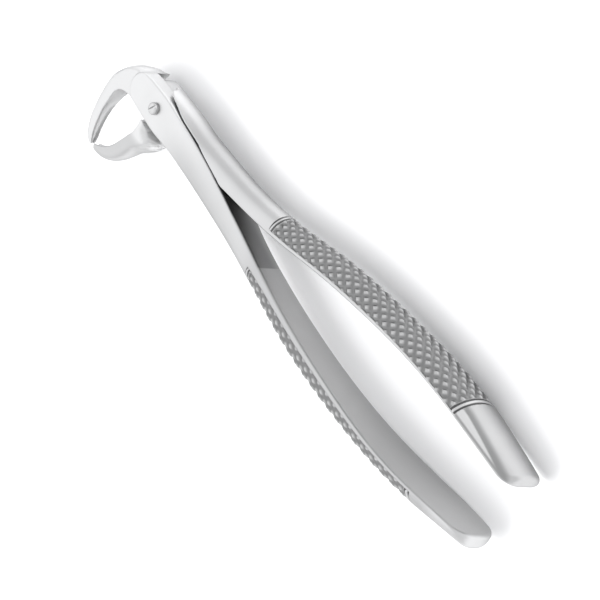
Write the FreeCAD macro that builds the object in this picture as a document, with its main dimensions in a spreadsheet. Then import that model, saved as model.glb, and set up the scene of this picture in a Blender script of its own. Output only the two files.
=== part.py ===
import FreeCAD
import Part
import math
import os

import Sketcher
from FreeCAD import Placement, Rotation, Vector

# Lower extraction forceps with hawk's-bill beaks, lying on their side.
# Frame: the hinge axis is Z, the origin is where it crosses the outer face of the far
# lever's half of the lap joint, the handles run towards -Y and the beaks reach towards
# -X. Each body is drawn about the parting plane of the joint and stands half the joint's
# thickness above the origin. Millimetres.
#
# near_lever: left handle, upper (+Z) half of the lap joint, outer beak.
# far_lever:  right handle, lower (-Z) half of the lap joint, inner beak.
# pivot_screw: slotted screw, fixed in the far lever, turning in the near one.

# A cut that removes less than this, in cubic millimetres, has missed.
LEAST_CUT = 0.01

doc = FreeCAD.newDocument("extraction_forceps")
sheet = doc.addObject("Spreadsheet::Sheet", "Params")

# ---------------------------------------------------------------- driving dimensions

JOINT = {
    "joint_thickness": 8.8,
    "lap_clearance": 0.1,
    "plate_end_radius": 3.85,
    "near_plate_end_x": 0.45,
    "near_plate_end_y": 6.35,
    "far_plate_end_x": -0.1,
    "far_plate_end_y": 4.7,
    "relief_radius": 9.0,
    "screw_radius": 1.2,
    "screw_running_gap": 0.05,
    "screw_head_radius": 1.45,
    "screw_head_rise": 0.9,
    "screw_slot_width": 0.55,
    "screw_slot_depth": 0.45,
    "screw_slot_angle": 150.0,
    "screw_rim_share": 0.55,
    "near_reach": 142.8,
    "far_reach": 146.0,
    "handle_end_corner": 4.6,
}

# One row per station down a handle: distance below the hinge, width along Z, then for
# each lever the place of the inner face across the tool, the side rim and the crown.
# The last station is replaced by the lever's own reach.
HANDLE_FIELDS = ("station", "width", "near_inner", "near_rim", "near_crown",
                 "far_inner", "far_rim", "far_crown")
HANDLE = [
    (-1.0, 8.6, 4.1, 8.2, 0.2, -3.0, 5.9, 2.6),
    (8.0, 8.5, 3.1, 7.7, 0.4, -3.2, 5.7, 2.8),
    (20.0, 8.0, 1.2, 6.7, 1.5, -1.4, 3.4, 2.6),
    (33.0, 7.8, -2.0, 4.8, 2.1, 0.0, 2.0, 2.9),
    (48.0, 8.0, -5.9, 2.2, 3.4, 1.2, 1.7, 3.8),
    (66.0, 9.2, -9.3, 1.2, 4.4, 5.0, 1.2, 4.4),
    (84.0, 10.5, -11.2, 1.1, 4.2, 7.9, 1.1, 4.2),
    (102.0, 12.7, -11.8, 1.0, 3.7, 10.0, 1.0, 3.7),
    (118.0, 14.3, -10.9, 0.9, 3.2, 10.6, 0.9, 3.2),
    (132.0, 13.8, -9.4, 0.8, 2.8, 9.7, 0.8, 2.8),
    (143.8, 12.6, -8.4, 0.7, 2.3, 8.4, 0.7, 2.4),
]

# One row per section of a beak, from the joint to the tip: a point on the inner face,
# the direction in which the section's thickness runs, the side rim, the crown, the
# width and the height of the section's middle above the parting plane.
BEAK_FIELDS = ("across", "along", "lean", "rim", "crown", "width", "lift")
OUTER_BEAK = [
    (-3.1, 5.2, 8.0, 6.8, 0.4, 8.0, -0.4),
    (-3.6, 9.0, 22.0, 6.7, 0.6, 7.9, -0.4),
    (-4.6, 12.0, 38.0, 5.0, 0.9, 7.3, -0.3),
    (-6.5, 13.9, 58.0, 2.9, 1.3, 6.3, -0.1),
    (-9.6, 15.0, 82.0, 2.0, 1.4, 5.0, 0.0),
    (-13.4, 15.6, 96.0, 1.6, 1.3, 4.1, 0.0),
    (-17.2, 15.5, 113.0, 1.2, 1.0, 3.1, 0.0),
    (-20.0, 14.8, 138.0, 0.8, 0.7, 2.2, 0.0),
    (-21.0, 14.2, 158.0, 0.5, 0.3, 1.4, 0.0),
]
INNER_BEAK = [
    (-2.8, 2.2, 266.0, 5.6, 3.0, 8.7, 0.0),
    (-7.2, 3.1, 253.0, 3.9, 2.5, 7.8, 0.0),
    (-10.8, 4.4, 240.0, 2.7, 2.0, 6.4, 0.0),
    (-14.3, 6.4, 222.0, 2.2, 1.8, 5.2, 0.0),
    (-17.3, 8.7, 200.0, 2.0, 1.5, 4.2, 0.0),
    (-19.4, 11.3, 185.0, 1.6, 1.1, 3.2, 0.0),
    (-20.5, 13.5, 172.0, 0.9, 0.7, 2.1, 0.0),
]

# Plan outlines, as (across, along) corners. Each half of the joint is closed by its round
# end, and each relief is the ground that the other lever covers while the tool opens.
NEAR_PLATE = [(-4.1, 1.5), (-4.75, -9.0), (3.0, -9.0), (4.3, -1.0), (4.3, 2.2)]
FAR_PLATE = [(-3.6, 2.2), (-3.4, -8.0), (3.0, -8.0), (3.6, -1.0)]
FAR_SHANK_CROSSING = [(-4.3, -7.0), (-2.3, -20.0), (-1.1, -31.5), (6.0, -31.5), (6.0, -7.0)]
NEAR_SWING = [(-4.7, 14.0), (-4.7, 1.1), (-5.05, 0.45), (-5.85, -0.55), (-6.95, -2.2), (-8.3, -4.9),
              (-10.9, -8.2), (-13.3, -11.3), (-9.0, -33.0), (-1.7, -33.0), (0.15, -26.0),
              (1.55, -20.0), (2.4, -15.9), (3.1, -10.9), (3.45, -8.0), (4.05, -5.0),
              (4.5, -2.0), (4.65, -1.0), (5.05, 0.0), (5.7, 1.0), (9.0, 4.0), (9.0, 14.0)]


def write_cells():
    """Put every driving dimension in the sheet, one aliased cell each."""
    cells = list(JOINT.items())
    for number, row in enumerate(HANDLE):
        cells += [("%s_%02d" % (field, number), value) for field, value in zip(HANDLE_FIELDS, row)]
    for prefix, rows in (("outer_beak", OUTER_BEAK), ("inner_beak", INNER_BEAK)):
        for number, row in enumerate(rows):
            cells += [("%s_%s_%02d" % (prefix, field, number), value)
                      for field, value in zip(BEAK_FIELDS, row)]
    for line, (alias, value) in enumerate(cells, start=1):
        sheet.set("A%d" % line, alias)
        sheet.set("B%d" % line, str(value))
        sheet.setAlias("B%d" % line, alias)
    doc.recompute()


def cell(alias):
    return float(getattr(sheet, alias))


# ---------------------------------------------------------------- sketch helpers

def new_body(label):
    body = doc.addObject("PartDesign::Body", label)
    body.Label = label
    body.Placement = Placement(Vector(0, 0, cell("joint_thickness") / 2), Rotation())
    return body


def plane_of(body, role):
    return next(item for item in body.Origin.OriginFeatures if item.Role == role)


def new_sketch(body, name, role):
    sketch = body.newObject("Sketcher::SketchObject", name)
    sketch.AttachmentSupport = [(plane_of(body, role), "")]
    sketch.MapMode = "FlatFace"
    return sketch


def bind(sketch, constraint, name, expression):
    """Add a dimensional constraint and bind it to the sheet."""
    index = sketch.addConstraint(constraint)
    sketch.renameConstraint(index, name)
    sketch.setExpression("Constraints." + name, expression)


def chain(sketch, count):
    """Join the ends of the first edges of a sketch into one closed loop."""
    for first in range(count):
        sketch.addConstraint(Sketcher.Constraint("Coincident", first, 2, (first + 1) % count, 1))


def d_section(body, name, width, rim, crown):
    """A D-shaped section: flat inner face on the sketch's V axis, two straight side rims
    and a round crown. The arguments are aliases in the sheet."""
    sketch = new_sketch(body, name, "XZ_Plane")
    half, side, rise = cell(width) / 2, cell(rim), cell(crown)
    corners = [Vector(0, half, 0), Vector(0, -half, 0), Vector(side, -half, 0), Vector(side, half, 0)]
    sketch.addGeometry(Part.LineSegment(corners[0], corners[1]))
    sketch.addGeometry(Part.LineSegment(corners[1], corners[2]))
    sketch.addGeometry(Part.Arc(corners[2], Vector(side + rise, 0, 0), corners[3]))
    sketch.addGeometry(Part.LineSegment(corners[3], corners[0]))
    chain(sketch, 4)
    sketch.addConstraint(Sketcher.Constraint("PointOnObject", 0, 1, -2))
    sketch.addConstraint(Sketcher.Constraint("Symmetric", 0, 1, 0, 2, -1))
    sketch.addConstraint(Sketcher.Constraint("Horizontal", 1))
    sketch.addConstraint(Sketcher.Constraint("Horizontal", 3))
    sketch.addConstraint(Sketcher.Constraint("Equal", 1, 3))
    bind(sketch, Sketcher.Constraint("DistanceY", 0, 2, 0, 1, 2 * half), "width", "Params." + width)
    bind(sketch, Sketcher.Constraint("DistanceX", 1, 1, 1, 2, side), "rim", "Params." + rim)
    radius = (rise ** 2 + half ** 2) / (2 * rise)
    formula = "(Params.{1} ^ 2 + (Params.{0} / 2) ^ 2) / (2 * Params.{1})".format(width, crown)
    bind(sketch, Sketcher.Constraint("Radius", 2, radius), "crown_radius", formula)
    return sketch


def place_section(sketch, across, along, lift, turn):
    """Stand a section at (across, along) in plan, its thickness running at `turn` degrees."""
    sketch.AttachmentOffset = Placement(Vector(0, 0, 0), Rotation(Vector(0, 1, 0), 0.001))
    sketch.setExpression("AttachmentOffset.Base.x", across)
    sketch.setExpression("AttachmentOffset.Base.y", lift)
    sketch.setExpression("AttachmentOffset.Base.z", "-(%s)" % along)
    sketch.setExpression("AttachmentOffset.Rotation.Angle", turn)


def loft(body, name, sections):
    feature = body.newObject("PartDesign::AdditiveLoft", name)
    feature.Profile = (sections[0], [""])
    feature.Sections = [(section, [""]) for section in sections[1:]]
    doc.recompute()
    return feature


def handle_loft(body, lever, turn):
    sections = []
    last = len(HANDLE) - 1
    for number in range(last + 1):
        sketch = d_section(body, "%s_handle_section_%d" % (lever, number), "width_%02d" % number,
                           "%s_rim_%02d" % (lever, number), "%s_crown_%02d" % (lever, number))
        station = "Params.%s_reach" % lever if number == last else "Params.station_%02d" % number
        place_section(sketch, "Params.%s_inner_%02d" % (lever, number), "-" + station, "0", str(turn))
        sections.append(sketch)
    return loft(body, lever + "_handle", sections)


def beak_loft(body, prefix, rows):
    sections = []
    for number in range(len(rows)):
        alias = {field: "%s_%s_%02d" % (prefix, field, number) for field in BEAK_FIELDS}
        sketch = d_section(body, "%s_section_%d" % (prefix, number),
                           alias["width"], alias["rim"], alias["crown"])
        place_section(sketch, "Params." + alias["across"], "Params." + alias["along"],
                      "Params." + alias["lift"], "Params." + alias["lean"])
        sections.append(sketch)
    return loft(body, prefix, sections)


def outline(body, name, points):
    """A closed polygon sketch; its corners are fixed in plan by block constraints."""
    sketch = new_sketch(body, name, "XY_Plane")
    corners = [Vector(u, v, 0) for u, v in points]
    for first, second in zip(corners, corners[1:] + corners[:1]):
        sketch.addGeometry(Part.LineSegment(first, second))
    chain(sketch, len(points))
    for edge in range(len(points)):
        sketch.addConstraint(Sketcher.Constraint("Block", edge))
    return sketch


def plate_outline(body, name, points, end_x, end_y):
    """One half of the lap joint in plan: straight edges through the points, closed by a
    half-round end about (end_x, end_y)."""
    sketch = new_sketch(body, name, "XY_Plane")
    radius = cell("plate_end_radius")
    left, right = Vector(end_x - radius, end_y, 0), Vector(end_x + radius, end_y, 0)
    corners = [left] + [Vector(u, v, 0) for u, v in points] + [right]
    for first, second in zip(corners, corners[1:]):
        sketch.addGeometry(Part.LineSegment(first, second))
    sketch.addGeometry(Part.Arc(right, Vector(end_x, end_y + radius, 0), left))
    chain(sketch, len(corners))
    for edge in range(len(corners) - 1):
        sketch.addConstraint(Sketcher.Constraint("Block", edge))
    bind(sketch, Sketcher.Constraint("Radius", len(corners) - 1, radius), "end_radius",
         "Params.plate_end_radius")
    return sketch


def circle(body, name, radius):
    sketch = new_sketch(body, name, "XY_Plane")
    sketch.addGeometry(Part.Circle(Vector(0, 0, 0), Vector(0, 0, 1), 1.0))
    bind(sketch, Sketcher.Constraint("Radius", 0, 1.0), "radius", radius)
    sketch.addConstraint(Sketcher.Constraint("Coincident", 0, 3, -1, 1))
    return sketch


def pad(body, name, sketch, start, length):
    """Pad a plan sketch upwards from height `start`; both are expressions."""
    sketch.setExpression("AttachmentOffset.Base.z", start)
    feature = body.newObject("PartDesign::Pad", name)
    feature.Profile = sketch
    feature.Type = 0
    feature.setExpression("Length", length)
    doc.recompute()
    return feature


def cut(body, name, sketch, start, length, upwards):
    """Pocket a plan sketch from height `start`, and make sure that it cuts something."""
    before = body.Shape.Volume
    sketch.setExpression("AttachmentOffset.Base.z", start)
    feature = body.newObject("PartDesign::Pocket", name)
    feature.Profile = sketch
    feature.Type = 0
    feature.Reversed = upwards
    feature.setExpression("Length", length)
    doc.recompute()
    if body.Shape.Volume > before - LEAST_CUT:
        raise RuntimeError(name + " cuts nothing")
    return feature


def round_handle_end(body, lever):
    """Round the two corners of the handle's end, seen from across the tool."""
    end = cell(lever + "_reach")
    half = cell("width_%02d" % (len(HANDLE) - 1)) / 2
    corner = cell("handle_end_corner")
    past = 3.0
    sketch = new_sketch(body, lever + "_end_corners", "YZ_Plane")
    for side in (1, -1):
        start = Vector(-end + corner, side * half, 0)
        stop = Vector(-end, side * (half - corner), 0)
        centre = Vector(-end + corner, side * (half - corner), 0)
        middle = centre + Vector(-corner * math.sqrt(0.5), side * corner * math.sqrt(0.5), 0)
        rail = [start, start + Vector(0, side * past, 0), Vector(-end - past, side * (half + past), 0),
                Vector(-end - past, side * (half - corner), 0), stop]
        first = sketch.GeometryCount
        for one, two in zip(rail, rail[1:]):
            sketch.addGeometry(Part.LineSegment(one, two))
        sketch.addGeometry(Part.Arc(stop, middle, start))
        for edge in range(first, first + 5):
            sketch.addConstraint(Sketcher.Constraint("Block", edge))
    before = body.Shape.Volume
    feature = body.newObject("PartDesign::Pocket", lever + "_round_end")
    feature.Profile = sketch
    feature.Type = 1
    feature.Midplane = True
    doc.recompute()
    if body.Shape.Volume > before - LEAST_CUT:
        raise RuntimeError("the handle's end was not rounded")


# ---------------------------------------------------------------- sub-parts

HALF = "Params.joint_thickness / 2"
SKIN = "Params.lap_clearance / 2"


def make_near_lever():
    """Left handle, upper half of the lap joint with its round plate, outer beak."""
    body = new_body("near_lever")
    handle_loft(body, "near", 180.0)
    beak_loft(body, "outer_beak", OUTER_BEAK)
    plate = plate_outline(body, "near_plate_outline", NEAR_PLATE,
                          cell("near_plate_end_x"), cell("near_plate_end_y"))
    pad(body, "near_plate", plate, SKIN, HALF + " - " + SKIN)
    swing = circle(body, "far_plate_swing", "Params.relief_radius")
    cut(body, "far_plate_relief", swing, SKIN, "Params.joint_thickness", False)
    cut(body, "far_shank_relief", outline(body, "far_shank_crossing", FAR_SHANK_CROSSING),
        SKIN, "Params.joint_thickness", False)
    bore = circle(body, "pivot_bore", "Params.screw_radius + Params.screw_running_gap")
    cut(body, "pivot_hole", bore, HALF + " + 1", "Params.joint_thickness", False)
    round_handle_end(body, "near")
    return body


def make_far_lever():
    """Right handle, lower half of the lap joint, inner beak."""
    body = new_body("far_lever")
    handle_loft(body, "far", 0.0)
    beak_loft(body, "inner_beak", INNER_BEAK)
    plate = plate_outline(body, "far_plate_outline", FAR_PLATE,
                          cell("far_plate_end_x"), cell("far_plate_end_y"))
    pad(body, "far_plate", plate, "-" + HALF, HALF + " - " + SKIN)
    cut(body, "near_plate_relief", outline(body, "near_plate_swing", NEAR_SWING),
        "-(%s)" % SKIN, "Params.joint_thickness", True)
    bore = circle(body, "screw_bore", "Params.screw_radius")
    cut(body, "screw_hole", bore, "1", "Params.joint_thickness", False)
    round_handle_end(body, "far")
    return body


def make_pivot_screw():
    """Screw with a domed slotted head, flush with the far lever's outer face."""
    body = new_body("pivot_screw")
    half, head, rise = cell("joint_thickness") / 2, cell("screw_head_radius"), cell("screw_head_rise")
    shank, gap = cell("screw_radius"), cell("screw_running_gap")
    sketch = new_sketch(body, "screw_profile", "XZ_Plane")
    rail = [Vector(0, -half, 0), Vector(shank, -half, 0), Vector(shank, half + gap, 0),
            Vector(head, half + gap, 0), Vector(head, half + rise * cell("screw_rim_share"), 0)]
    for first, second in zip(rail, rail[1:]):
        sketch.addGeometry(Part.LineSegment(first, second))
    crown, crown_turn = rise * (1 - cell("screw_rim_share")), math.radians(52.0)
    dome = Vector(head * math.cos(crown_turn), half + rise - crown * (1 - math.sin(crown_turn)), 0)
    top = Vector(0, half + rise, 0)
    sketch.addGeometry(Part.Arc(rail[-1], dome, top))
    sketch.addGeometry(Part.LineSegment(top, rail[0]))
    for edge in range(6):
        sketch.addConstraint(Sketcher.Constraint("Block", edge))
    turned = body.newObject("PartDesign::Revolution", "screw_blank")
    turned.Profile = sketch
    turned.ReferenceAxis = (sketch, ["V_Axis"])
    turned.Angle = 360.0
    doc.recompute()
    slot = new_sketch(body, "slot_outline", "XY_Plane")
    reach = head + 1.0
    slot_half = cell("screw_slot_width") / 2
    corners = [Vector(-reach, -slot_half, 0), Vector(reach, -slot_half, 0),
               Vector(reach, slot_half, 0), Vector(-reach, slot_half, 0)]
    for first, second in zip(corners, corners[1:] + corners[:1]):
        slot.addGeometry(Part.LineSegment(first, second))
    chain(slot, 4)
    for edge in (0, 2):
        slot.addConstraint(Sketcher.Constraint("Horizontal", edge))
    for edge in (1, 3):
        slot.addConstraint(Sketcher.Constraint("Vertical", edge))
    slot.addConstraint(Sketcher.Constraint("Symmetric", 0, 1, 1, 2, -1, 1))
    slot.addConstraint(Sketcher.Constraint("DistanceX", 0, 1, 0, 2, 2 * reach))
    bind(slot, Sketcher.Constraint("DistanceY", 1, 1, 1, 2, 2 * slot_half), "slot_width",
         "Params.screw_slot_width")
    slot.AttachmentOffset = Placement(Vector(0, 0, 0), Rotation(Vector(0, 0, 1), 0.001))
    slot.setExpression("AttachmentOffset.Rotation.Angle", "Params.screw_slot_angle")
    cut(body, "screw_slot", slot, HALF + " + Params.screw_head_rise + 0.01",
        "Params.screw_slot_depth + 0.01", False)
    return body


# ---------------------------------------------------------------- build, check, export

def check(parts):
    """Stop on a failed feature, or on a sub-part that is not one valid solid."""
    for item in doc.Objects:
        if "Invalid" in item.State or "Error" in item.State:
            raise RuntimeError("%s failed: %s" % (item.Name, item.State))
    for part in parts:
        shape = part.Shape
        if shape.isNull() or not shape.isValid() or len(shape.Solids) != 1:
            raise RuntimeError("%s is not one valid solid (%d)" % (part.Label, len(shape.Solids)))
        box = shape.BoundBox
        print("%-12s %8.1f mm3  x %.2f..%.2f  y %.2f..%.2f  z %.2f..%.2f" % (
            part.Label, shape.Volume, box.XMin, box.XMax, box.YMin, box.YMax, box.ZMin, box.ZMax))


write_cells()
parts = [make_near_lever(), make_far_lever(), make_pivot_screw()]
doc.recompute()
check(parts)
os.makedirs("parts", exist_ok=True)
for part in parts:
    part.Shape.exportStep("parts/%s.step" % part.Label)
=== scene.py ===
import math

import bpy
import numpy as np
from mathutils import Matrix, Vector


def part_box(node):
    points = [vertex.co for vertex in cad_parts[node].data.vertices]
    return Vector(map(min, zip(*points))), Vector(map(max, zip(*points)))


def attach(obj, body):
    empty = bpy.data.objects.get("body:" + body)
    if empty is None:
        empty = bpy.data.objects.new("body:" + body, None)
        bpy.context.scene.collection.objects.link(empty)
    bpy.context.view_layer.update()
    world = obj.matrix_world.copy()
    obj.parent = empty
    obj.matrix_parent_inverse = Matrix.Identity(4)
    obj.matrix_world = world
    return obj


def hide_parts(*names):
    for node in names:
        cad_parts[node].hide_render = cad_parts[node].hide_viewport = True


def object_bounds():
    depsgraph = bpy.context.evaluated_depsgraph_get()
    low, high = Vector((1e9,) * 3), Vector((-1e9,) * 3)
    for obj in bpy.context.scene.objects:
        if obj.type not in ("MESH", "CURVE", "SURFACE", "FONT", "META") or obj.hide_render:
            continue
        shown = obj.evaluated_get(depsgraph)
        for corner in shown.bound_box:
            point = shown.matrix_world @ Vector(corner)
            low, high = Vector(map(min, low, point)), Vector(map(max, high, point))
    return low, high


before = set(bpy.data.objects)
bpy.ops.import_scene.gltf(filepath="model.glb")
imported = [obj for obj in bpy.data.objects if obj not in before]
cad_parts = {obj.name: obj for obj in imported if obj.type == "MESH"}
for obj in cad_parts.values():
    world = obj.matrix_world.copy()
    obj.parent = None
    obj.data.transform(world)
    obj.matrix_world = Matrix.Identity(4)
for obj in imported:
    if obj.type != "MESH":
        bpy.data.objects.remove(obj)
cad_low, cad_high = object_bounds()

# Shapes are worked out in millimetres about the parting plane of the lap joint, halfway up
# the near lever, with the hinge axis as Z, and put in the frame by `to_frame`.
MM = 0.001
LAP = (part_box("near_lever")[0].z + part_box("near_lever")[1].z) / 2 / MM
FLOOR = cad_low.z

# ---------------------------------------------------------------- dimensions

# Down the handles, from above the joint to their ends. Each row holds the distance below
# the hinge and the width along Z, then the inner face across the tool, the side rim and
# the crown: first the near lever's three, then the far lever's.
HANDLE = np.array([
    (-12.0, 8.8, 4.3, 7.6, 0.1, -3.0, 5.9, 2.6),
    (-6.0, 8.8, 4.3, 7.8, 0.1, -3.0, 5.9, 2.6),
    (-1.0, 8.8, 4.28, 8.5, 0.1, -3.0, 5.9, 2.6),
    (4.0, 8.8, 3.9, 8.55, 0.2, -3.15, 5.85, 2.7),
    (8.0, 8.7, 3.25, 7.8, 0.4, -3.2, 5.7, 2.8),
    (14.0, 8.45, 2.35, 7.3, 0.9, -2.6, 4.7, 2.7),
    (20.0, 8.2, 1.2, 6.65, 1.5, -1.4, 3.5, 2.6),
    (33.0, 7.8, -2.0, 4.9, 2.1, 0.0, 1.9, 3.0),
    (48.0, 8.0, -5.9, 2.2, 3.9, 1.6, 0.9, 4.2),
    (66.0, 9.2, -9.3, 1.2, 5.0, 5.1, 0.8, 4.7),
    (84.0, 10.5, -11.2, 1.0, 4.9, 7.9, 0.8, 4.5),
    (102.0, 12.7, -11.8, 0.9, 4.5, 10.0, 0.8, 3.9),
    (118.0, 14.3, -10.9, 0.8, 4.3, 10.6, 0.7, 3.4),
    (132.0, 13.8, -9.4, 0.8, 3.6, 9.7, 0.7, 2.9),
    (146.0, 12.3, -8.2, 0.7, 2.6, 8.3, 0.6, 2.5),
])
# The way across the tool from each handle's inner face to its crown.
SIGN = {"near": -1.0, "far": 1.0}
THINNEST_CROWN = 0.05
# Where each handle ends, and the radius of its end's corners.
REACH = {"near": 142.0, "far": 145.9}
END_CORNER = {"near": 5.4, "far": 4.4}

# Along a beak from the joint to the tip, on its inner face: across, along, side rim,
# crown, width and the height of its middle.
BEAKS = {
    "outer": np.array([
        (-3.2, 4.6, 6.8, 0.4, 8.0, -0.4),
        (-3.3, 8.0, 6.6, 0.5, 8.0, -0.4),
        (-3.9, 11.3, 5.6, 0.8, 7.2, -0.3),
        (-5.4, 13.7, 3.7, 0.8, 5.7, 0.1),
        (-8.4, 14.75, 2.7, 1.2, 4.2, 0.5),
        (-11.8, 15.3, 2.2, 1.2, 3.6, 0.5),
        (-15.2, 15.35, 1.9, 1.2, 3.1, 0.4),
        (-18.2, 14.95, 1.5, 1.05, 2.7, 0.35),
        (-20.0, 14.5, 1.1, 0.8, 2.1, 0.3),
        (-21.2, 14.15, 0.6, 0.4, 1.2, 0.3),
    ]),
    "inner": np.array([
        (-1.0, 2.3, 6.0, 2.6, 8.4, 0.0),
        (-4.7, 2.2, 4.9, 2.6, 8.3, 0.0),
        (-7.6, 2.4, 3.7, 2.2, 7.9, 0.0),
        (-10.4, 3.8, 2.5, 1.8, 6.9, 0.0),
        (-13.9, 6.0, 2.1, 1.8, 5.5, 0.0),
        (-17.3, 8.6, 1.9, 1.5, 4.1, 0.0),
        (-19.4, 11.4, 1.4, 1.1, 3.0, 0.0),
        (-20.5, 13.7, 0.8, 0.7, 2.0, 0.0),
    ]),
}
BEAK_STEPS = 181
# A beak's edges sharpen where it is thinner than this, down to a least share.
FULL_BEAK = 3
LEAST_EDGE = 0.3
# The gripping face is hollowed, deepest along its middle and towards the tip.
HOLLOW_DEPTH = 0.4
HOLLOW_START = (6.0, 12.0)
HOLLOW_WIDTH = 0.8
# Rows of the net wholly below this line along the tool leave the beaks out, because
# nothing of them shows there.
BEAK_REACH = -6.0

# The round end of each lever's half of the joint: centre, radius, and how much the
# radius grows for each millimetre below the centre.
PLATE_END = {"near": (0.45, 6.35), "far": (-0.1, 4.7)}
PLATE_RADIUS = 3.85
PLATE_SPREAD = 0.2
# Half the joint's thickness, and how far each plate stands back from the parting plane.
HALF_JOINT = 4.4
LAP_GAP = 0.05
# The recess under the near lever, where the far one passes: round at the hinge, and
# `FAR_CROSSING` in plan below it.
RELIEF_RADIUS = 9.0
FAR_CROSSING = [(-4.3, -7.0), (-2.3, -20.0), (-1.1, -31.5), (6.0, -31.5), (6.0, -7.0)]
# The far lever's plate in plan, and the height it reaches before it is cut for the lap.
FAR_PLATE = [(-3.99, 4.7), (-3.6, 2.2), (-3.4, -8.5), (2.9, -8.5), (3.6, -1.0), (3.79, 4.7)]
FAR_PLATE_TOP = 1.0
# The far handle's bar ends this far past the hinge, and the plate goes on.
FAR_BAR_END = 1.0
# The room in plan that the near lever takes over its whole travel, cut from the far one
# above the parting plane.
NEAR_SWING = [
    (-4.7, 14.0), (-4.7, 1.1), (-5.05, 0.45), (-5.85, -0.55), (-6.95, -2.2), (-8.3, -4.9),
    (-10.9, -8.2), (-13.3, -11.3), (-9.0, -33.0), (-1.7, -33.0), (0.15, -26.0), (1.55, -20.0),
    (2.55, -15.9), (3.15, -10.9), (3.55, -8.0), (4.15, -5.0), (4.6, -2.0), (4.75, -1.0),
    (5.15, 0.0), (5.8, 1.0), (9.0, 4.0), (9.0, 14.0),
]
# The cut's wall leans back beside the inner beak's root, and its upper edge is rounded
# more there, for the blend between beak and joint. Its distance is eased, which softens
# that edge a little everywhere.
SWING_EASE = 0.75
LEAN = 0.2
LEAN_ACROSS = (4.0, 5.5)
LEAN_TOP = 2.6
LEAN_FADE = (0.0, 3.0)
SWING_EDGE = 0.2
SWING_BLEND = 1.4
SWING_BLEND_ACROSS = (4.9, 6.6)

# Radii of rounded edges, and of the fillets where two shapes join.
INNER_EDGE = 0.4
CROWN_EDGE = 0.5
HANDLE_END_EDGE = 0.9
NEAR_PLATE_EDGE = 0.3
NEAR_RELIEF_EDGE = 0.15
FAR_PLATE_EDGE = 0.25
FAR_PLATE_FILLET = 0.6
BEAK_INNER_EDGE = 0.3
BEAK_CROWN_EDGE = 0.5
BEAK_TIP_EDGE = 0.4
BEAK_FILLET = {"outer": 0.5, "inner": 1.2}

# The knurled band on each crown, between two ring grooves at each end. The two pairs'
# steps, widths and rows are in the order start, stop.
KNURL_START, KNURL_STOP = 46.6, 123.4
KNURL_INSET = 0.12
GIRTH_STEPS = 4000
RING_INSET = 0.15
RING_STEPS = (0.95, 1.4)
RING_WIDTHS = (0.6, 0.85)
RING_WALL = (0.3, 0.5)
RING_DEPTH = 0.36
RING_ROWS = (30, 40)
DIAMONDS_ACROSS = 6
DIAMOND_STRETCH = 1.41
DIAMOND_WALL = (0.02, 0.46)
ROWS_PER_DIAMOND, COLUMNS_PER_DIAMOND = 22, 22
KNURL_DEPTH = 0.45
FIELD_FADE = (0.1, 0.15)
# The form is sunk beneath the band, so that only the band's own skin shows there.
BAND_SINK = 0.66
BAND_EDGE = 0.1
BAND_EDGE_FADE = 0.3
BAND_END_FADE = 0.25
SKIN_MARGIN = 0.05
SKIN_EDGE_DROP = 0.3
SKIN_EDGE_FADE = 0.35

# The screw: heights are from the underside of its head, just above the near plate.
SHANK_RADIUS = 1.2
SHANK_BREAK = 0.1
HEAD_RADIUS = 1.43
HEAD_FOOT_BREAK = 0.06
HEAD_RIM = 0.22
DOME_INSET = 0.05
DOME_START = 0.33
DOME_RISE = 0.48
DOME_FULLNESS = 0.9
DOME_STEPS = 12
SCREW_SIDES = 96
SLOT_HALF = 0.27
SLOT_FLOOR = 0.41
SLOT_TURN = math.radians(150.0)
CUTTER_MARGIN = 1.0
SCREW_BEVEL = 0.04

# ---------------------------------------------------------------- small mathematics


def spline(knots, values):
    """Natural cubic spline through the rows of `values`, held at its ends past both."""
    knots, values = np.asarray(knots, float), np.asarray(values, float)
    steps = np.diff(knots)
    slopes = np.diff(values, axis=0) / steps[:, None]
    count = len(knots)
    system = np.eye(count)
    right = np.zeros_like(values)
    for i in range(1, count - 1):
        system[i, i - 1:i + 2] = steps[i - 1], 2 * (steps[i - 1] + steps[i]), steps[i]
        right[i] = 6 * (slopes[i] - slopes[i - 1])
    bend = np.linalg.solve(system, right)

    def at(where):
        where = np.clip(where, knots[0], knots[-1])
        i = np.clip(np.searchsorted(knots, where, side="right") - 1, 0, count - 2)
        step, part = steps[i], (where - knots[i])[..., None]
        a, b = bend[i], bend[i + 1]
        first = slopes[i] - step[..., None] * (2 * a + b) / 6
        return values[i] + part * (first + part * (a / 2 + part * (b - a) / (6 * step[..., None])))
    return at


def meet(a, b, radius):
    """Intersection of two solids given by distance, with the edge rounded."""
    return (np.minimum(np.maximum(a, b), -radius)
            + np.hypot(np.maximum(a + radius, 0), np.maximum(b + radius, 0)))


def join(a, b, radius):
    """Union of two solids given by distance, with a fillet in the corner."""
    return (np.maximum(np.minimum(a, b), radius)
            - np.hypot(np.maximum(radius - a, 0), np.maximum(radius - b, 0)))


def ramp(value, low, high):
    """0 below `low`, 1 above `high`, and a smooth step between them."""
    part = np.clip((value - low) / (high - low), 0, 1)
    return part * part * (3 - 2 * part)


def crown_radius(crown, half):
    """Radius of the arc that rises by `crown` over a chord of twice `half`."""
    return (crown ** 2 + half ** 2) / (2 * crown)


def polygon(points, x, y):
    """Signed distance in plan to a closed polygon, negative inside."""
    corners = np.array(points, float)
    nearest = np.full(np.broadcast(x, y).shape, 1e9)
    inside = np.zeros(nearest.shape, bool)
    for (ax, ay), (bx, by) in zip(corners, np.roll(corners, -1, axis=0)):
        ex, ey = bx - ax, by - ay
        part = np.clip(((x - ax) * ex + (y - ay) * ey) / (ex * ex + ey * ey), 0, 1)
        nearest = np.minimum(nearest, np.hypot(x - ax - part * ex, y - ay - part * ey))
        crosses = ((ay > y) != (by > y)) & (x < ex * (y - ay) / (ey if ey else 1e-9) + ax)
        inside ^= crosses
    return np.where(inside, -nearest, nearest)


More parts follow.
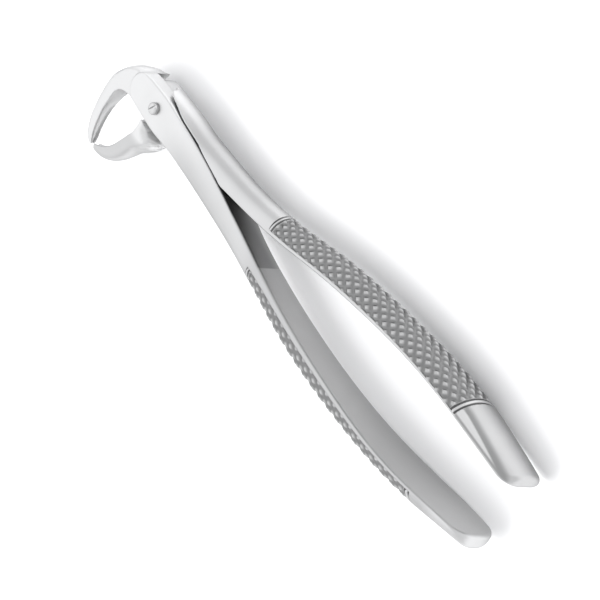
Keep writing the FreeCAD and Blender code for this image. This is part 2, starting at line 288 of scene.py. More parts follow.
# ---------------------------------------------------------------- the levers' solids

handle_at = spline(HANDLE[:, 0], HANDLE[:, 1:])


def handle_section(lever, station):
    """Half width, inner face, rim, crown and the crown's radius at a station."""
    row = handle_at(station)
    first = 1 if lever == "near" else 4
    half = row[..., 0] / 2
    inner, rim, crown = (row[..., first + k] for k in range(3))
    crown = np.maximum(crown, THINNEST_CROWN)
    return half, inner, rim, crown, crown_radius(crown, half)


def handle_solid(lever, x, y, z):
    """A lever's whole bar: flat inner face, crowned back sunk along the knurled band, and
    a rounded end."""
    station = -y
    half, inner, rim, crown, radius = handle_section(lever, station)
    u = (x - inner) * SIGN[lever]
    slab = meet(-u, np.abs(z) - half, INNER_EDGE)
    arc = np.hypot(u - (rim + crown - radius), z) - radius
    tilt = np.arctan2(np.abs(z), u - (rim + crown - radius))
    widest = np.arctan2(half, radius - crown)
    edge_gap = (widest - tilt) * radius
    band = (ramp(station, KNURL_START, KNURL_START + BAND_END_FADE)
            * (1 - ramp(station, KNURL_STOP - BAND_END_FADE, KNURL_STOP)))
    sink = BAND_SINK * band * ramp(edge_gap, BAND_EDGE, BAND_EDGE + BAND_EDGE_FADE)
    solid = meet(slab, arc + sink, CROWN_EDGE)
    reach, round_end = REACH[lever], END_CORNER[lever]
    across = np.abs(z) - (half - round_end)
    along = station - (reach - round_end)
    corner = (np.hypot(np.maximum(across, 0), np.maximum(along, 0))
              + np.minimum(np.maximum(across, along), 0) - round_end)
    return meet(solid, corner, HANDLE_END_EDGE)


def plate_end(lever, x, y):
    """Distance in plan to the round end of a lever's half of the joint."""
    centre_x, centre_y = PLATE_END[lever]
    past = np.maximum(y - centre_y, 0)
    spread = np.maximum(centre_y - y, 0) * PLATE_SPREAD
    return np.hypot(x - centre_x, past) - PLATE_RADIUS - spread


class Beak:
    """A curved D-section bar along its inner face."""

    def __init__(self, rows, outward):
        """Reads the rows along the inner face, `outward` to its right (1) or left (-1)."""
        chord = np.concatenate([[0], np.cumsum(np.hypot(*np.diff(rows[:, :2], axis=0).T))])
        at = spline(chord, rows)
        self.rows = at(np.linspace(0, chord[-1], BEAK_STEPS))
        self.path = self.rows[:, :2]
        self.travel = np.linspace(0, chord[-1], BEAK_STEPS)
        tangent = np.gradient(self.path, axis=0)
        self.tangent = tangent / np.linalg.norm(tangent, axis=1)[:, None]
        self.normal = outward * np.stack([self.tangent[:, 1], -self.tangent[:, 0]], axis=1)

    def nearest(self, flat):
        """A function that reads the beak's values beside each point of a plan."""
        away = (flat[:, 0, None] - self.path[:, 0]) ** 2 + (flat[:, 1, None] - self.path[:, 1]) ** 2
        i = np.clip(away.argmin(axis=1), 1, len(self.path) - 2)
        step = self.path[i + 1] - self.path[i - 1]
        gap = flat - self.path[i]
        part = np.clip((gap * step).sum(axis=1) / (step * step).sum(axis=1), -0.5, 0.5)[:, None]

        def here(values):
            share = part if values.ndim > 1 else part[:, 0]
            return values[i] + share * (values[i + 1] - values[i - 1])
        return here

    def solid(self, x, y, z):
        """Distance to the beak, hollowed on its gripping face."""
        x, y = np.broadcast_arrays(x, y)
        flat = np.stack([x.ravel(), y.ravel()], axis=1)
        here = self.nearest(flat)
        row = here(self.rows)
        gap = flat - here(self.path)
        u = (gap * here(self.normal)).sum(axis=1).reshape(x.shape)
        travel = (here(self.travel) + (gap * here(self.tangent)).sum(axis=1)).reshape(x.shape)
        rim, crown, width, lift = (row[:, k].reshape(x.shape) for k in (2, 3, 4, 5))
        half = width / 2
        radius = crown_radius(crown, half)
        height = z - lift
        small = np.clip((rim + crown) / FULL_BEAK, LEAST_EDGE, 1.0)
        hollow = (HOLLOW_DEPTH * ramp(-x, *HOLLOW_START)
                  * np.clip(1 - (height / (HOLLOW_WIDTH * half)) ** 2, 0, 1))
        slab = meet(hollow - u, np.abs(height) - half, BEAK_INNER_EDGE * small)
        arc = np.hypot(np.maximum(u - (rim + crown - radius), 0), height) - radius
        bar = meet(slab, arc, BEAK_CROWN_EDGE * small)
        return meet(bar, np.maximum(travel - self.travel[-1], -travel), BEAK_TIP_EDGE)


beaks = {"outer": Beak(BEAKS["outer"], 1.0), "inner": Beak(BEAKS["inner"], -1.0)}


def near_solid(x, y, z):
    """Left handle, upper half of the joint, outer beak."""
    bar = meet(handle_solid("near", x, y, z), plate_end("near", x, y), NEAR_PLATE_EDGE)
    relief = np.minimum(np.hypot(x, y) - RELIEF_RADIUS, polygon(FAR_CROSSING, x, y))
    keep = -np.maximum(relief, z - LAP_GAP)
    if np.max(y) > BEAK_REACH:
        bar = join(bar, beaks["outer"].solid(x, y, z), BEAK_FILLET["outer"])
    return meet(bar, keep, NEAR_RELIEF_EDGE)


def far_solid(x, y, z):
    """Right handle, lower half of the joint, inner beak."""
    bar = np.maximum(handle_solid("far", x, y, z), y - FAR_BAR_END)
    centre_x, centre_y = PLATE_END["far"]
    round_end = np.hypot(x - centre_x, y - centre_y) - PLATE_RADIUS
    plan = np.minimum(polygon(FAR_PLATE, x, y), round_end)
    plate = meet(plan, np.maximum(-HALF_JOINT - z, z - FAR_PLATE_TOP), FAR_PLATE_EDGE)
    body = join(bar, plate, FAR_PLATE_FILLET)
    if np.max(y) > BEAK_REACH:
        body = join(body, beaks["inner"].solid(x, y, z), BEAK_FILLET["inner"])
    lean = LEAN * np.maximum(z, 0) * ramp(-x, *LEAN_ACROSS) * ramp(LEAN_TOP - y, *LEAN_FADE)
    swing = np.maximum((polygon(NEAR_SWING, x, y) - lean) * SWING_EASE, -LAP_GAP - z)
    shoulder = SWING_EDGE + SWING_BLEND * ramp(-x, *SWING_BLEND_ACROSS)
    return meet(body, -swing, shoulder)


SOLIDS = {"near": near_solid, "far": far_solid}

# ---------------------------------------------------------------- solids to meshes

# The net's reach round both levers, and its cells: long ones down the handles, and
# smaller ones at the ring grooves, at the handles' ends and from the joint to the beaks.
NET_X, NET_Y, NET_Z = (-23.6, 16.2), (-147.2, 20.4), (-7.7, 7.7)
CELL = 0.22
LONG_CELL = 0.5
FINE_CELLS = [
    (-KNURL_STOP - 0.5, -KNURL_STOP + 0.5, 0.12),
    (-KNURL_START - 0.5, -KNURL_START + 0.5, 0.12),
    (-147.3, -138.0, 0.25),
    (-14.0, 21.0, 0.2),
]
NET_BLOCK = 40
SETTLE_ROUNDS = 2
SETTLE_LIMIT = 0.12
LEAST_GRADE = 0.3


def lattice(low, high, step, fine=()):
    """Grid lines from low to high, `step` apart, closer inside the (from, to, step) spans."""
    lines = [low]
    while lines[-1] < high:
        here = lines[-1]
        close = [s for a, b, s in fine if a <= here < b]
        lines.append(here + (min(close) if close else step))
    return np.array(lines)


def distance_field(solid, xs, ys, zs):
    """The solid's distance at every grid point, worked out a block of rows at a time."""
    blocks = [solid(xs[:, None, None], ys[None, k:k + NET_BLOCK, None], zs[None, None, :])
              for k in range(0, len(ys), NET_BLOCK)]
    full = [np.broadcast_to(block, (len(xs), block.shape[1], len(zs))) for block in blocks]
    return np.concatenate(full, axis=1)


def shifted(where, one, two, back_one, back_two):
    """Cells beside grid edges, moved back along the two axes across the edges."""
    cell = where.copy()
    cell[:, one] -= back_one
    cell[:, two] -= back_two
    return cell


def surface_net(solid, xs, ys, zs):
    """Vertices and quads of the surface where the solid's distance is zero. Each cell that
    the surface crosses gets one vertex, at the mean of its crossings, and each crossed grid
    edge gets one quad between the four cells round it."""
    field = distance_field(solid, xs, ys, zs)
    inside = field < 0
    cells = tuple(n - 1 for n in field.shape)
    lines = (xs, ys, zs)
    total = np.zeros((int(np.prod(cells)), 3))
    hits = np.zeros(len(total))
    crossings = []
    for axis in range(3):
        head = [slice(None)] * 3
        tail = [slice(None)] * 3
        head[axis], tail[axis] = slice(None, -1), slice(1, None)
        a, b = field[tuple(head)], field[tuple(tail)]
        where = np.argwhere(inside[tuple(head)] != inside[tuple(tail)])
        va, vb = a[tuple(where.T)], b[tuple(where.T)]
        place = np.stack([lines[k][where[:, k]] for k in range(3)], axis=1)
        gap = lines[axis][where[:, axis] + 1] - lines[axis][where[:, axis]]
        place[:, axis] += va / (va - vb) * gap
        crossings.append((axis, where, va < 0))
        one, two = (axis + 1) % 3, (axis + 2) % 3
        for back_one, back_two in ((0, 0), (0, 1), (1, 0), (1, 1)):
            cell = shifted(where, one, two, back_one, back_two)
            good = ((cell >= 0) & (cell < cells)).all(axis=1)
            index = np.ravel_multi_index(cell[good].T, cells)
            for k in range(3):
                total[:, k] += np.bincount(index, place[good, k], len(total))
            hits += np.bincount(index, minlength=len(total))
    used = hits > 0
    number = np.cumsum(used) - 1
    points = total[used] / hits[used][:, None]
    quads = []
    for axis, where, rising in crossings:
        one, two = (axis + 1) % 3, (axis + 2) % 3
        good = ((where[:, one] > 0) & (where[:, two] > 0)
                & (where[:, one] < cells[one]) & (where[:, two] < cells[two]))
        where, rising = where[good], rising[good]
        ring = [number[np.ravel_multi_index(shifted(where, one, two, *back).T, cells)]
                for back in ((1, 1), (0, 1), (0, 0), (1, 0))]
        ring = np.stack(ring, axis=1)
        quads.append(np.where(rising[:, None], ring, ring[:, ::-1]))
    return points, np.concatenate(quads)


def slope(solid, points, step=0.03):
    """Gradient of the distance at each point."""
    parts = []
    for axis in range(3):
        shift = np.zeros(3)
        shift[axis] = step
        parts.append((solid(*(points + shift).T) - solid(*(points - shift).T)) / (2 * step))
    return np.stack(parts, axis=1)


def settle(solid, points):
    """Moves the points of a surface net on to the true surface, and gives its normals."""
    for _ in range(SETTLE_ROUNDS):
        grade = slope(solid, points)
        size = np.maximum((grade ** 2).sum(axis=1), LEAST_GRADE)
        pull = np.clip(solid(*points.T) / size, -SETTLE_LIMIT, SETTLE_LIMIT)
        points = points - grade * pull[:, None]
    grade = slope(solid, points)
    return points, grade / np.maximum(np.linalg.norm(grade, axis=1), 1e-6)[:, None]


def to_frame(points):
    """Points in metres in the frame, from millimetres about the parting plane."""
    return (points + (0, 0, LAP)) * MM


def add_object(name, data):
    """A new object in the scene."""
    made = bpy.data.objects.new(name, data)
    bpy.context.scene.collection.objects.link(made)
    return made


def set_tone(mesh, tone):
    """Stores the metal's tone at each point of a mesh: its finish, with painted light and shade."""
    mesh.attributes.new("tone", "FLOAT", "POINT").data.foreach_set("value", tone.astype(np.float32))


def new_piece(name, points, faces, tone, normals=None):
    """A smooth-shaded mesh object in the frame, from points in millimetres."""
    mesh = bpy.data.meshes.new(name)
    mesh.from_pydata(to_frame(points).tolist(), [], faces.tolist())
    set_tone(mesh, tone)
    mesh.validate()
    mesh.update()
    mesh.shade_smooth()
    if normals is not None:
        mesh.normals_split_custom_set_from_vertices(normals.tolist())
    return add_object(name, mesh)


# ---------------------------------------------------------------- finish, painted light and painted shade of the levers

# Most of the tones below paint light and shade on to the steel.
# Tone 1 is the brightest steel. A patch's amount is what it adds to the tone, takes off it
# or scales it by, and its spans are where it fades in or out: in millimetres below or
# above the hinge, towards the beaks' tips, or away from the inner face. A facing span is
# how squarely the surface faces one way.
#
# The ground inner faces start below the joint. Over their satin ground finish they carry
# painted shade: a painted dark reflection on the neck, lightened by painted light towards its
# lower edge and its top, then a lighter painted shade on the grip with painted light towards its end.
GROUND_FACING = (0.6, 0.9)
GROUND_SPAN = (22.0, 26.0)
NECK_SHADE_BREAK = 49.4
NECK_PAINTED_SHADE = 0.38
NECK_LOWER_PAINTED_LIGHT, NECK_LOWER_SPAN = 0.25, (0.5, 4.2)
NECK_TOP_PAINTED_LIGHT, NECK_TOP_SPAN = 0.15, (28.0, 38.0)
GRIP_GROUND_AND_SHADE = 0.66
GRIP_END_PAINTED_LIGHT, GRIP_END_SPAN = 0.16, (100.0, 140.0)
# Painted shade darkens the bars from the joint to the grip, more on their backs, and beside the band.
SHANK_PAINTED_SHADE, SHANK_SPAN = 0.13, (0.0, 36.0)
BACK_PAINTED_SHADE, BACK_DEPTH = 0.25, (0.5, 8.0)
BACK_START, BACK_STOP = (2.0, 18.0), (36.0, 48.0)
GRIP_RIM_PAINTED_SHADE = {"near": 0.16, "far": 0.04}
GRIP_RIM_START, GRIP_RIM_STOP = (40.0, 50.0), (126.0, 134.0)
# Painted light makes the near lever slightly brighter above the hinge, and painted shade darkens its
# beak's gripping face.
JOINT_PAINTED_LIGHT, JOINT_SPAN = 0.03, (2.0, 9.0)
GRASP_PAINTED_SHADE, GRASP_FACING, GRASP_START = 0.24, (0.45, 0.8), (11.0, 13.0)
# The inner beak gets painted light at its root, against the shade of the recess beside it, and is darker
# towards its tip.
ROOT_PAINTED_LIGHT, ROOT_START, ROOT_STOP = 0.22, (4.6, 5.4), (7.0, 10.0)
BEAK_TIPWARD_DARKENING, BEAK_SPAN = 0.2, (7.5, 11.0)
INNER_BEAK_START = (-5.0, -3.0)
# The far handle's smooth end is darkened by painted shade and has a painted highlight strip along
# its upper edge and a painted dark reflection strip beside it, both rising towards the end.
SMOOTH_END_PAINTED_SHADE, SMOOTH_START, SMOOTH_STOP = 0.12, (123.2, 123.8), (144.6, 145.4)
SMOOTH_RISE_START, SMOOTH_RISE_LENGTH = 126.0, 19.0
STRIP_TONE = 0.4
STRIP_DEPTH, RIM_LINE_DEPTH = (0.4, 0.7), (0.9, 1.3)
PAINTED_HIGHLIGHT_STRIP, HIGHLIGHT_RISE = (5.0, 5.4), 1.0
PAINTED_DARK_STRIP, DARK_RISE = (3.2, 4.6), 0.9
# Painted shade darkens the band in the knurl's grooves. In the rings the painted shade is darker still
# at its lower end, and the lands between them carry a painted highlight.
GROOVE_SHADE_TONE, GROOVE_GAIN, GROOVE_SPAN = 0.36, 0.4, (-0.8 * KNURL_DEPTH, -0.03)
RING_PAINTED_SHADE, RING_SPAN, START_RING_SHARE = 0.5, (0.05, 0.3), 0.35
LAND_PAINTED_HIGHLIGHT, LAND_SPAN = 0.15, (0.02, 0.15)


def ground_and_shade_tone(station, z):
    """Tone of the flat inner faces: a satin ground finish under painted shade and light, with a painted
    dark reflection darkest just above the grip.
    """
    neck = (NECK_PAINTED_SHADE + NECK_LOWER_PAINTED_LIGHT * ramp(-z, *NECK_LOWER_SPAN)
            + NECK_TOP_PAINTED_LIGHT * (1 - ramp(station, *NECK_TOP_SPAN)))
    grip = GRIP_GROUND_AND_SHADE + GRIP_END_PAINTED_LIGHT * ramp(station, *GRIP_END_SPAN)
    return np.where(station < NECK_SHADE_BREAK, neck, grip)


def shank_tone(lever, points, normals):
    """Tone of the polished joint, beaks and bars, with painted light and shade on them."""
    x, y, _ = points.T
    tone = 1 - SHANK_PAINTED_SHADE * ramp(-y, *SHANK_SPAN)
    if lever == "near":
        # Painted shade on the outer beak's gripping face, painted light above the hinge.
        grasp = ramp(-normals[:, 1], *GRASP_FACING) * ramp(y, *GRASP_START)
        return tone + JOINT_PAINTED_LIGHT * ramp(y, *JOINT_SPAN) - GRASP_PAINTED_SHADE * grasp
    # Painted light at the inner beak's root, where the recess beside it lies in shade.
    root = ROOT_PAINTED_LIGHT * ramp(-x, *ROOT_START) * (1 - ramp(-x, *ROOT_STOP))
    tone = tone + root * ramp(y, *INNER_BEAK_START)
    return tone - BEAK_TIPWARD_DARKENING * ramp(-x, *BEAK_SPAN) * ramp(y, *INNER_BEAK_START)


def smooth_end_tone(tone, station, depth, z):
    """The far handle's tone with its smooth end's painted shade and two painted strips, a highlight and
    a dark reflection.
    """
    along = np.clip((station - SMOOTH_RISE_START) / SMOOTH_RISE_LENGTH, 0, 1)
    started = ramp(station, *SMOOTH_START)
    end = started * (1 - ramp(station, *SMOOTH_STOP)) * ramp(depth, *STRIP_DEPTH)
    rim_line = 1 - ramp(depth, *RIM_LINE_DEPTH)
    # Painted highlight strip, then the painted dark reflection strip beside it.
    bright = ramp(z, *(edge + HIGHLIGHT_RISE * along for edge in PAINTED_HIGHLIGHT_STRIP)) * (1 - rim_line)
    dark = ramp(z, *(edge + DARK_RISE * along for edge in PAINTED_DARK_STRIP)) * (1 - bright)
    return tone * (1 + end * (STRIP_TONE * bright - STRIP_TONE * dark)) * (1 - SMOOTH_END_PAINTED_SHADE * started)


def lever_tone(lever, points, normals):
    """Polished joint and shank, satin grip, and ground inner face, with painted light and shade over
    them.
    """
    x, y, z = points.T
    station = -y
    _, inner_face, _, _, _ = handle_section(lever, station)
    facing_inward = ramp(-SIGN[lever] * normals[:, 0], *GROUND_FACING) * ramp(station, *GROUND_SPAN)
    depth = SIGN[lever] * (x - inner_face)
    # Painted shade on the backs of the bars and on the grip's rims.
    back = ramp(depth, *BACK_DEPTH) * (1 - ramp(station, *BACK_STOP)) * ramp(station, *BACK_START)
    rim = (GRIP_RIM_PAINTED_SHADE[lever] * ramp(station, *GRIP_RIM_START)
           * (1 - ramp(station, *GRIP_RIM_STOP)))
    tone = shank_tone(lever, points, normals) * (1 - BACK_PAINTED_SHADE * back) * (1 - rim)
    if lever == "far":
        tone = smooth_end_tone(tone, station, depth, z)
    # The inner faces take their painted-shade tone in place of the bar's.
    return tone + (ground_and_shade_tone(station, z) - tone) * facing_inward


# ---------------------------------------------------------------- levers and knurls


def lever_form(lever):
    """A whole lever but for its knurled band."""
    solid = SOLIDS[lever]
    xs = lattice(*NET_X, CELL)
    ys = lattice(*NET_Y, LONG_CELL, FINE_CELLS)
    zs = lattice(*NET_Z, CELL)
    points, quads = surface_net(solid, xs, ys, zs)
    points, normals = settle(solid, points)
    return new_piece(lever + "_form", points, quads, lever_tone(lever, points, normals), normals)


def knurl_rows(lever, start, stop, ring_bands):
    """Stations of the band's rows, and how many diamonds lie above each. The diamonds keep
    their proportions, so they grow with the handle's girth."""
    fine = np.linspace(start, stop, GIRTH_STEPS)
    half, _, _, crown, radius = handle_section(lever, fine)
    girth = 2 * radius * np.arctan2(half, radius - crown)
    turns = np.concatenate([[0], np.cumsum(np.diff(fine) * DIAMONDS_ACROSS
                                           / (girth[1:] * DIAMOND_STRETCH))])
    field = np.interp([start + ring_bands[0], stop - ring_bands[1]], fine, turns)
    even = np.interp(np.linspace(*field, int((field[1] - field[0]) * ROWS_PER_DIAMOND)), turns, fine)
    stations = np.concatenate([np.linspace(start, start + ring_bands[0], RING_ROWS[0])[:-1], even,
                               np.linspace(stop - ring_bands[1], stop, RING_ROWS[1])[1:]])
    return stations, np.interp(stations, fine, turns)


def diamond_relief(across, along):
    """Depth of the knurl where two sets of slanting grooves cross, 0 on a diamond's top."""
    rise = []
    for coordinate in (across + along, across - along):
        off = np.abs(coordinate - np.round(coordinate))
        rise.append(ramp(off, *DIAMOND_WALL))
    bump = np.minimum(*rise) * 0.5 + rise[0] * rise[1] * 0.5
    return -KNURL_DEPTH * (1 - bump)


def ring_relief(from_start, from_stop):
    """Depth of the ring grooves, a pair at each end of the band."""
    ring = np.zeros_like(from_start)
    for gap, step, width in zip((from_start, from_stop), RING_STEPS, RING_WIDTHS):
        for centre in (RING_INSET, step + RING_INSET):
            groove = ramp(np.abs(gap - centre), *(part * width for part in RING_WALL))
            ring = np.minimum(ring, -RING_DEPTH * (1 - groove))
    return ring


def knurl_tone(depth, ring, field, near_stop):
    """Tone of the band: painted shade in its grooves, and a painted highlight on the lands between its
    rings.
    """
    share = np.where(near_stop, 1.0, START_RING_SHARE)
    tone = GROOVE_SHADE_TONE + GROOVE_GAIN * ramp(depth, *GROOVE_SPAN)
    tone = tone * (1 - RING_PAINTED_SHADE * (1 - field) * ramp(-ring, *RING_SPAN) * share)
    return tone + (1 - field) * LAND_PAINTED_HIGHLIGHT * (1 - ramp(-ring, *LAND_SPAN))


def knurl_skin(lever):
    """The knurled band of a handle's crown, with a ring groove pair at each end."""
    start, stop = KNURL_START + KNURL_INSET, KNURL_STOP - KNURL_INSET
    ring_bands = [step + RING_INSET + width / 2 for step, width in zip(RING_STEPS, RING_WIDTHS)]
    stations, diamonds = knurl_rows(lever, start, stop, ring_bands)
    columns = DIAMONDS_ACROSS * COLUMNS_PER_DIAMOND + 1
    v = np.linspace(-1, 1, columns)[None, :]
    half, inner, rim, crown, radius = (a[:, None] for a in handle_section(lever, stations))
    widest = np.arctan2(half, radius - crown) - (BAND_EDGE + SKIN_MARGIN) / radius
    angle = v * widest
    from_start = stations[:, None] - start
    from_stop = stop - stations[:, None]
    before, after = FIELD_FADE
    field = (ramp(from_start, ring_bands[0] - before, ring_bands[0] + after)
             * ramp(from_stop, ring_bands[1] - before, ring_bands[1] + after))
    ring = ring_relief(from_start, from_stop)
    depth = ring + (diamond_relief(v * DIAMONDS_ACROSS / 2, diamonds[:, None]) - ring) * field
    tone = knurl_tone(depth, ring, field, from_stop < ring_bands[1])
    edge_gap = (1 - np.abs(v)) * widest * radius
    depth = depth - SKIN_EDGE_DROP * (1 - ramp(edge_gap, 0.0, SKIN_EDGE_FADE))
    reach = radius + depth
    x = inner + SIGN[lever] * (rim + crown - radius + reach * np.cos(angle))
    y = np.broadcast_to(-stations[:, None], x.shape)
    z = reach * np.sin(angle)
    points = np.stack([x, y, z], axis=-1).reshape(-1, 3)
    index = np.arange(len(points)).reshape(len(stations), columns)
    corners = [index[:-1, :-1], index[1:, :-1], index[1:, 1:], index[:-1, 1:]]
    faces = np.stack(corners, axis=-1).reshape(-1, 4)
    if lever == "far":
        faces = faces[:, ::-1]
    return new_piece(lever + "_knurl", points, faces, tone.ravel())


# ---------------------------------------------------------------- the screw


def screw_profile():
    """Radius and height from the foot of the shank to the middle of the domed head."""
    foot, top = -HALF_JOINT, HALF_JOINT + LAP_GAP
    dome_foot = HEAD_RADIUS - DOME_INSET
    profile = [
        (0.0, foot),
        (SHANK_RADIUS - SHANK_BREAK, foot),
        (SHANK_RADIUS, foot + SHANK_BREAK),
        (SHANK_RADIUS, top),
        (HEAD_RADIUS - HEAD_FOOT_BREAK, top),
        (HEAD_RADIUS, top + HEAD_FOOT_BREAK),
        (HEAD_RADIUS, top + HEAD_RIM),
        (dome_foot, top + DOME_START),
    ]
    for k in range(1, DOME_STEPS + 1):
        turn = k / DOME_STEPS * math.pi / 2
        profile.append((dome_foot * math.cos(turn) ** DOME_FULLNESS,
                        top + DOME_START + DOME_RISE * math.sin(turn)))
    return profile


def turned_mesh(name, profile, count):
    """A mesh turned about the hinge axis from a profile."""
    points, faces = [], []
    for radius, height in profile:
        for k in range(count):
            turn = 2 * math.pi * k / count
            points.append((radius * math.cos(turn), radius * math.sin(turn), height))
    for ring in range(len(profile) - 1):
        one, two = ring * count, (ring + 1) * count
        for k in range(count):
            after = (k + 1) % count
            faces.append((one + k, one + after, two + after, two + k))
    mesh = bpy.data.meshes.new(name)
    mesh.from_pydata(to_frame(np.array(points)).tolist(), [], faces)
    return mesh


def slot_cutter():
    """A bar across the screw's head, turned to where the slot stands."""
    top = HALF_JOINT + LAP_GAP
    reach = HEAD_RADIUS + CUTTER_MARGIN
    cos, sin = math.cos(SLOT_TURN), math.sin(SLOT_TURN)
    points = []
    for z in (top + SLOT_FLOOR, top + DOME_START + DOME_RISE + CUTTER_MARGIN):
        for side_x, side_y in ((-1, -1), (1, -1), (1, 1), (-1, 1)):
            x, y = side_x * reach, side_y * SLOT_HALF
            points.append((x * cos - y * sin, x * sin + y * cos, z))
    faces = [(0, 3, 2, 1), (4, 5, 6, 7), (0, 1, 5, 4), (1, 2, 6, 5), (2, 3, 7, 6), (3, 0, 4, 7)]
    mesh = bpy.data.meshes.new("slot_cutter")
    mesh.from_pydata(to_frame(np.array(points)).tolist(), [], faces)
    return add_object("slot_cutter", mesh)


def screw_piece():
    """The screw: shank and domed head with a milled slot, its edges slightly rounded."""
    piece = add_object("pivot_screw_form", turned_mesh("pivot_screw_form", screw_profile(), SCREW_SIDES))
    weld = piece.modifiers.new("weld", "WELD")
    weld.merge_threshold = 0.001 * MM
    cutter = slot_cutter()
    cut = piece.modifiers.new("slot", "BOOLEAN")
    cut.object = cutter
    cut.operation = "DIFFERENCE"
    edges = piece.modifiers.new("edges", "BEVEL")
    edges.width = SCREW_BEVEL * MM
    edges.segments = 3
    edges.limit_method = "ANGLE"
    edges.angle_limit = math.radians(40)
    graph = bpy.context.evaluated_depsgraph_get()
    made = bpy.data.meshes.new_from_object(piece.evaluated_get(graph))
    piece.modifiers.clear()
    piece.data = made
    bpy.data.objects.remove(cutter)
    made.shade_smooth()
    set_tone(made, np.ones(len(made.vertices)))
    made.materials.clear()
    return piece


# ---------------------------------------------------------------- materials


class Nodes:
    """Short hand for building a node material."""

    def __init__(self, name):
        self.material = bpy.data.materials.new(name)
        self.material.use_nodes = True
        self.tree = self.material.node_tree
        self.shader = self.tree.nodes["Principled BSDF"]

    def add(self, kind, **inputs):
        """A new node, with its inputs or its own properties set."""
        node = self.tree.nodes.new(kind)
        for key, value in inputs.items():
            if key in node.inputs:
                node.inputs[key].default_value = value
            else:
                setattr(node, key, value)
        return node

    def spread(self, low, high):
        """A node that maps 0 to `low` and 1 to `high`."""
        node = self.add("ShaderNodeMapRange")
        node.inputs["To Min"].default_value = low
        node.inputs["To Max"].default_value = high
        return node

    def link(self, start, stop):
        self.tree.links.new(start, stop)


# Brushing: noise stretched along the levers. Clouds: broad unevenness of the polish.
GRAIN_SCALE = (400.0, 26.0, 400.0)
MOTTLING = 0.05
CLOUD_SHADE = (0.94, 1.03)
GRAIN_HEIGHT = 0.0001
# The colour sockets of a mix node: its second colour and its result.
MIX_COLOUR_B, MIX_COLOUR_RESULT = 7, 2


def steel(name, grey, roughness, grain_strength):
    """Stainless steel with a fine lengthwise grain and slightly uneven polish, darkened
    by the mesh's tone, which holds painted light and shade."""
    n = Nodes(name)
    n.shader.inputs["Metallic"].default_value = 1.0
    n.shader.inputs["Specular Tint"].default_value = (0.55, 0.55, 0.55, 1)
    place = n.add("ShaderNodeTexCoord")
    stretch = n.add("ShaderNodeMapping", Scale=GRAIN_SCALE)
    n.link(place.outputs["Object"], stretch.inputs["Vector"])
    lines = n.add("ShaderNodeTexNoise", Scale=6.0, Detail=5.0, Roughness=0.6)
    n.link(stretch.outputs["Vector"], lines.inputs["Vector"])
    clouds = n.add("ShaderNodeTexNoise", Scale=160.0, Detail=3.0, Roughness=0.55)
    n.link(place.outputs["Object"], clouds.inputs["Vector"])

    half_clouds = n.add("ShaderNodeMath", operation="MULTIPLY")
    half_clouds.inputs[1].default_value = 0.5
    n.link(clouds.outputs["Fac"], half_clouds.inputs[0])
    mixed = n.add("ShaderNodeMath", operation="MULTIPLY_ADD")
    mixed.inputs[1].default_value = 0.5
    n.link(lines.outputs["Fac"], mixed.inputs[0])
    n.link(half_clouds.outputs["Value"], mixed.inputs[2])
    polish = n.spread(roughness - MOTTLING, roughness + MOTTLING)
    n.link(mixed.outputs["Value"], polish.inputs["Value"])
    n.link(polish.outputs["Result"], n.shader.inputs["Roughness"])

    shade = n.spread(*CLOUD_SHADE)
    n.link(clouds.outputs["Fac"], shade.inputs["Value"])
    # The mesh's tone, with its painted light and shade.
    tone = n.add("ShaderNodeAttribute", attribute_name="tone")
    both = n.add("ShaderNodeMath", operation="MULTIPLY")
    n.link(shade.outputs["Result"], both.inputs[0])
    n.link(tone.outputs["Fac"], both.inputs[1])
    tint = n.add("ShaderNodeMix", data_type="RGBA")
    tint.inputs["A"].default_value = (0, 0, 0, 1)
    tint.inputs[MIX_COLOUR_B].default_value = (grey, grey, grey, 1)
    n.link(both.outputs["Value"], tint.inputs["Factor"])
    n.link(tint.outputs[MIX_COLOUR_RESULT], n.shader.inputs["Base Color"])

    bump = n.add("ShaderNodeBump", Strength=grain_strength, Distance=GRAIN_HEIGHT)
    n.link(mixed.outputs["Value"], bump.inputs["Height"])
    n.link(bump.outputs["Normal"], n.shader.inputs["Normal"])
    return n.material


def floor_material():
    """Matt, nearly white."""
    n = Nodes("floor")
    n.shader.inputs["Base Color"].default_value = (0.93, 0.93, 0.935, 1)
    n.shader.inputs["Roughness"].default_value = 0.7
    n.shader.inputs["Specular IOR Level"].default_value = 0.2
    return n.material


# ---------------------------------------------------------------- the pieces

lever_steel = steel("lever_steel_satin", 0.76, 0.36, grain_strength=0.035)
knurl_steel = steel("knurl_steel", 0.72, 0.34, grain_strength=0.05)
screw_steel = steel("screw_steel_polished", 0.66, 0.16, grain_strength=0.02)

for lever in ("near", "far"):
    form = lever_form(lever)
    form.data.materials.append(lever_steel)
    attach(form, lever)
    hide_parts(lever + "_lever")
    skin = knurl_skin(lever)
    skin.data.materials.append(knurl_steel)
    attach(skin, lever)

screw = screw_piece()
screw.data.materials.append(screw_steel)
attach(screw, "far")
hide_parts("pivot_screw")

# ---------------------------------------------------------------- stage

FLOOR_HALF = 3.0


def floor_piece():
    """A wide level floor beneath the tool."""
    mesh = bpy.data.meshes.new("floor")
    corners = [(x * FLOOR_HALF, y * FLOOR_HALF, FLOOR) for x, y in ((-1, -1), (1, -1), (1, 1), (-1, 1))]
    mesh.from_pydata(corners, [], [(0, 1, 2, 3)])
    mesh.materials.append(floor_material())
    return add_object("floor", mesh)


floor = floor_piece()

# The camera's axes in the frame, from its turn about the hinge axis, its tilt and roll,
# and the point it aims at, in metres along those axes from the middle of the joint.
TURN, TILT, ROLL = math.radians(36.53), math.radians(47.0), math.radians(3.0)
AIM_RIGHT, AIM_DOWN, AIM_BACK = 0.02955, 0.04273, 0.045
SENSOR_WIDTH = 36.0
LENS = 1500.0
VIEW_WIDTH = 0.13342


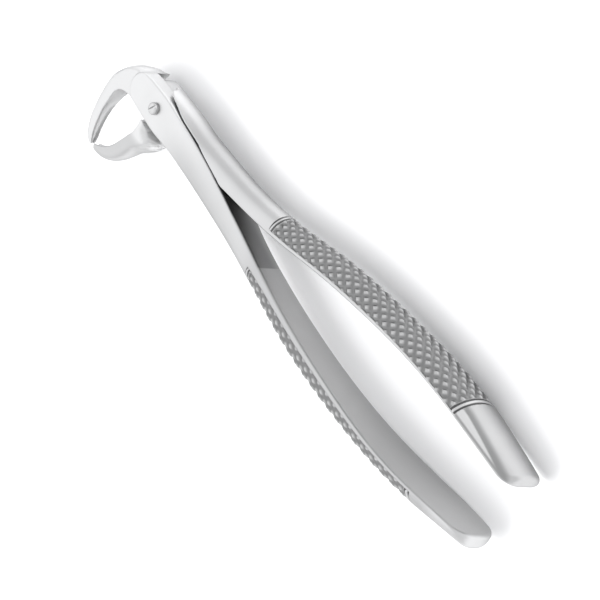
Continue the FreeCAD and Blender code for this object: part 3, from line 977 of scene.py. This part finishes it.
def add_camera():
    """A long-lens camera that looks down on the tool."""
    ahead = Vector((math.sin(TURN), -math.cos(TURN), 0))
    beside = Vector((math.cos(TURN), math.sin(TURN), 0))
    up_axis = Vector((0, 0, 1))
    back = ahead * math.sin(TILT) + up_axis * math.cos(TILT)
    level = ahead * math.cos(TILT) - up_axis * math.sin(TILT)
    right = level * math.cos(ROLL) + beside * math.sin(ROLL)
    above = back.cross(right)
    data = bpy.data.cameras.new("camera")
    data.sensor_width = SENSOR_WIDTH
    data.lens = LENS
    data.clip_start, data.clip_end = 0.1, 20.0
    aim = Vector((0, 0, LAP * MM)) + right * AIM_RIGHT - above * AIM_DOWN + back * AIM_BACK
    place = Matrix.Translation(aim + back * (LENS / SENSOR_WIDTH * VIEW_WIDTH))
    camera = add_object("camera", data)
    camera.matrix_world = place @ Matrix((right, above, back)).transposed().to_4x4()
    bpy.context.scene.camera = camera


def softbox(name, offset, width, height, watts):
    """A rectangular light that faces the tool's middle from `offset`."""
    middle = (cad_low + cad_high) / 2
    data = bpy.data.lights.new(name, "AREA")
    data.shape = "RECTANGLE"
    data.size, data.size_y = width, height
    data.energy = watts
    light = add_object(name, data)
    light.location = middle + Vector(offset)
    light.visible_glossy = False
    light.rotation_mode = "QUATERNION"
    light.rotation_quaternion = (middle - light.location).to_track_quat("-Z", "Y")


def studio_world():
    """Even pale surroundings, brighter where the large overhead light would be."""
    world = bpy.data.worlds.new("studio")
    bpy.context.scene.world = world
    world.use_nodes = True
    tree = world.node_tree
    background = tree.nodes["Background"]
    background.inputs["Color"].default_value = (0.985, 0.99, 1.0, 1)
    ways = tree.nodes.new("ShaderNodeTexCoord")
    facing = tree.nodes.new("ShaderNodeVectorMath")
    facing.operation = "DOT_PRODUCT"
    facing.inputs[1].default_value = Vector((-0.435, 0.588, 0.682)).normalized()
    glow = tree.nodes.new("ShaderNodeMapRange")
    glow.interpolation_type = "SMOOTHSTEP"
    glow.inputs["From Min"].default_value = 0.45
    glow.inputs["From Max"].default_value = 0.98
    glow.inputs["To Min"].default_value = 0.93
    glow.inputs["To Max"].default_value = 1.24
    tree.links.new(ways.outputs["Generated"], facing.inputs[0])
    tree.links.new(facing.outputs["Value"], glow.inputs["Value"])
    tree.links.new(glow.outputs["Result"], background.inputs["Strength"])


add_camera()
softbox("key", (-0.55, 0.1, 0.75), width=0.7, height=0.7, watts=4.4)
softbox("top", (-0.25, 0.45, 0.85), width=1.0, height=0.8, watts=3.4)
studio_world()
bpy.context.scene.view_settings.view_transform = "Standard"
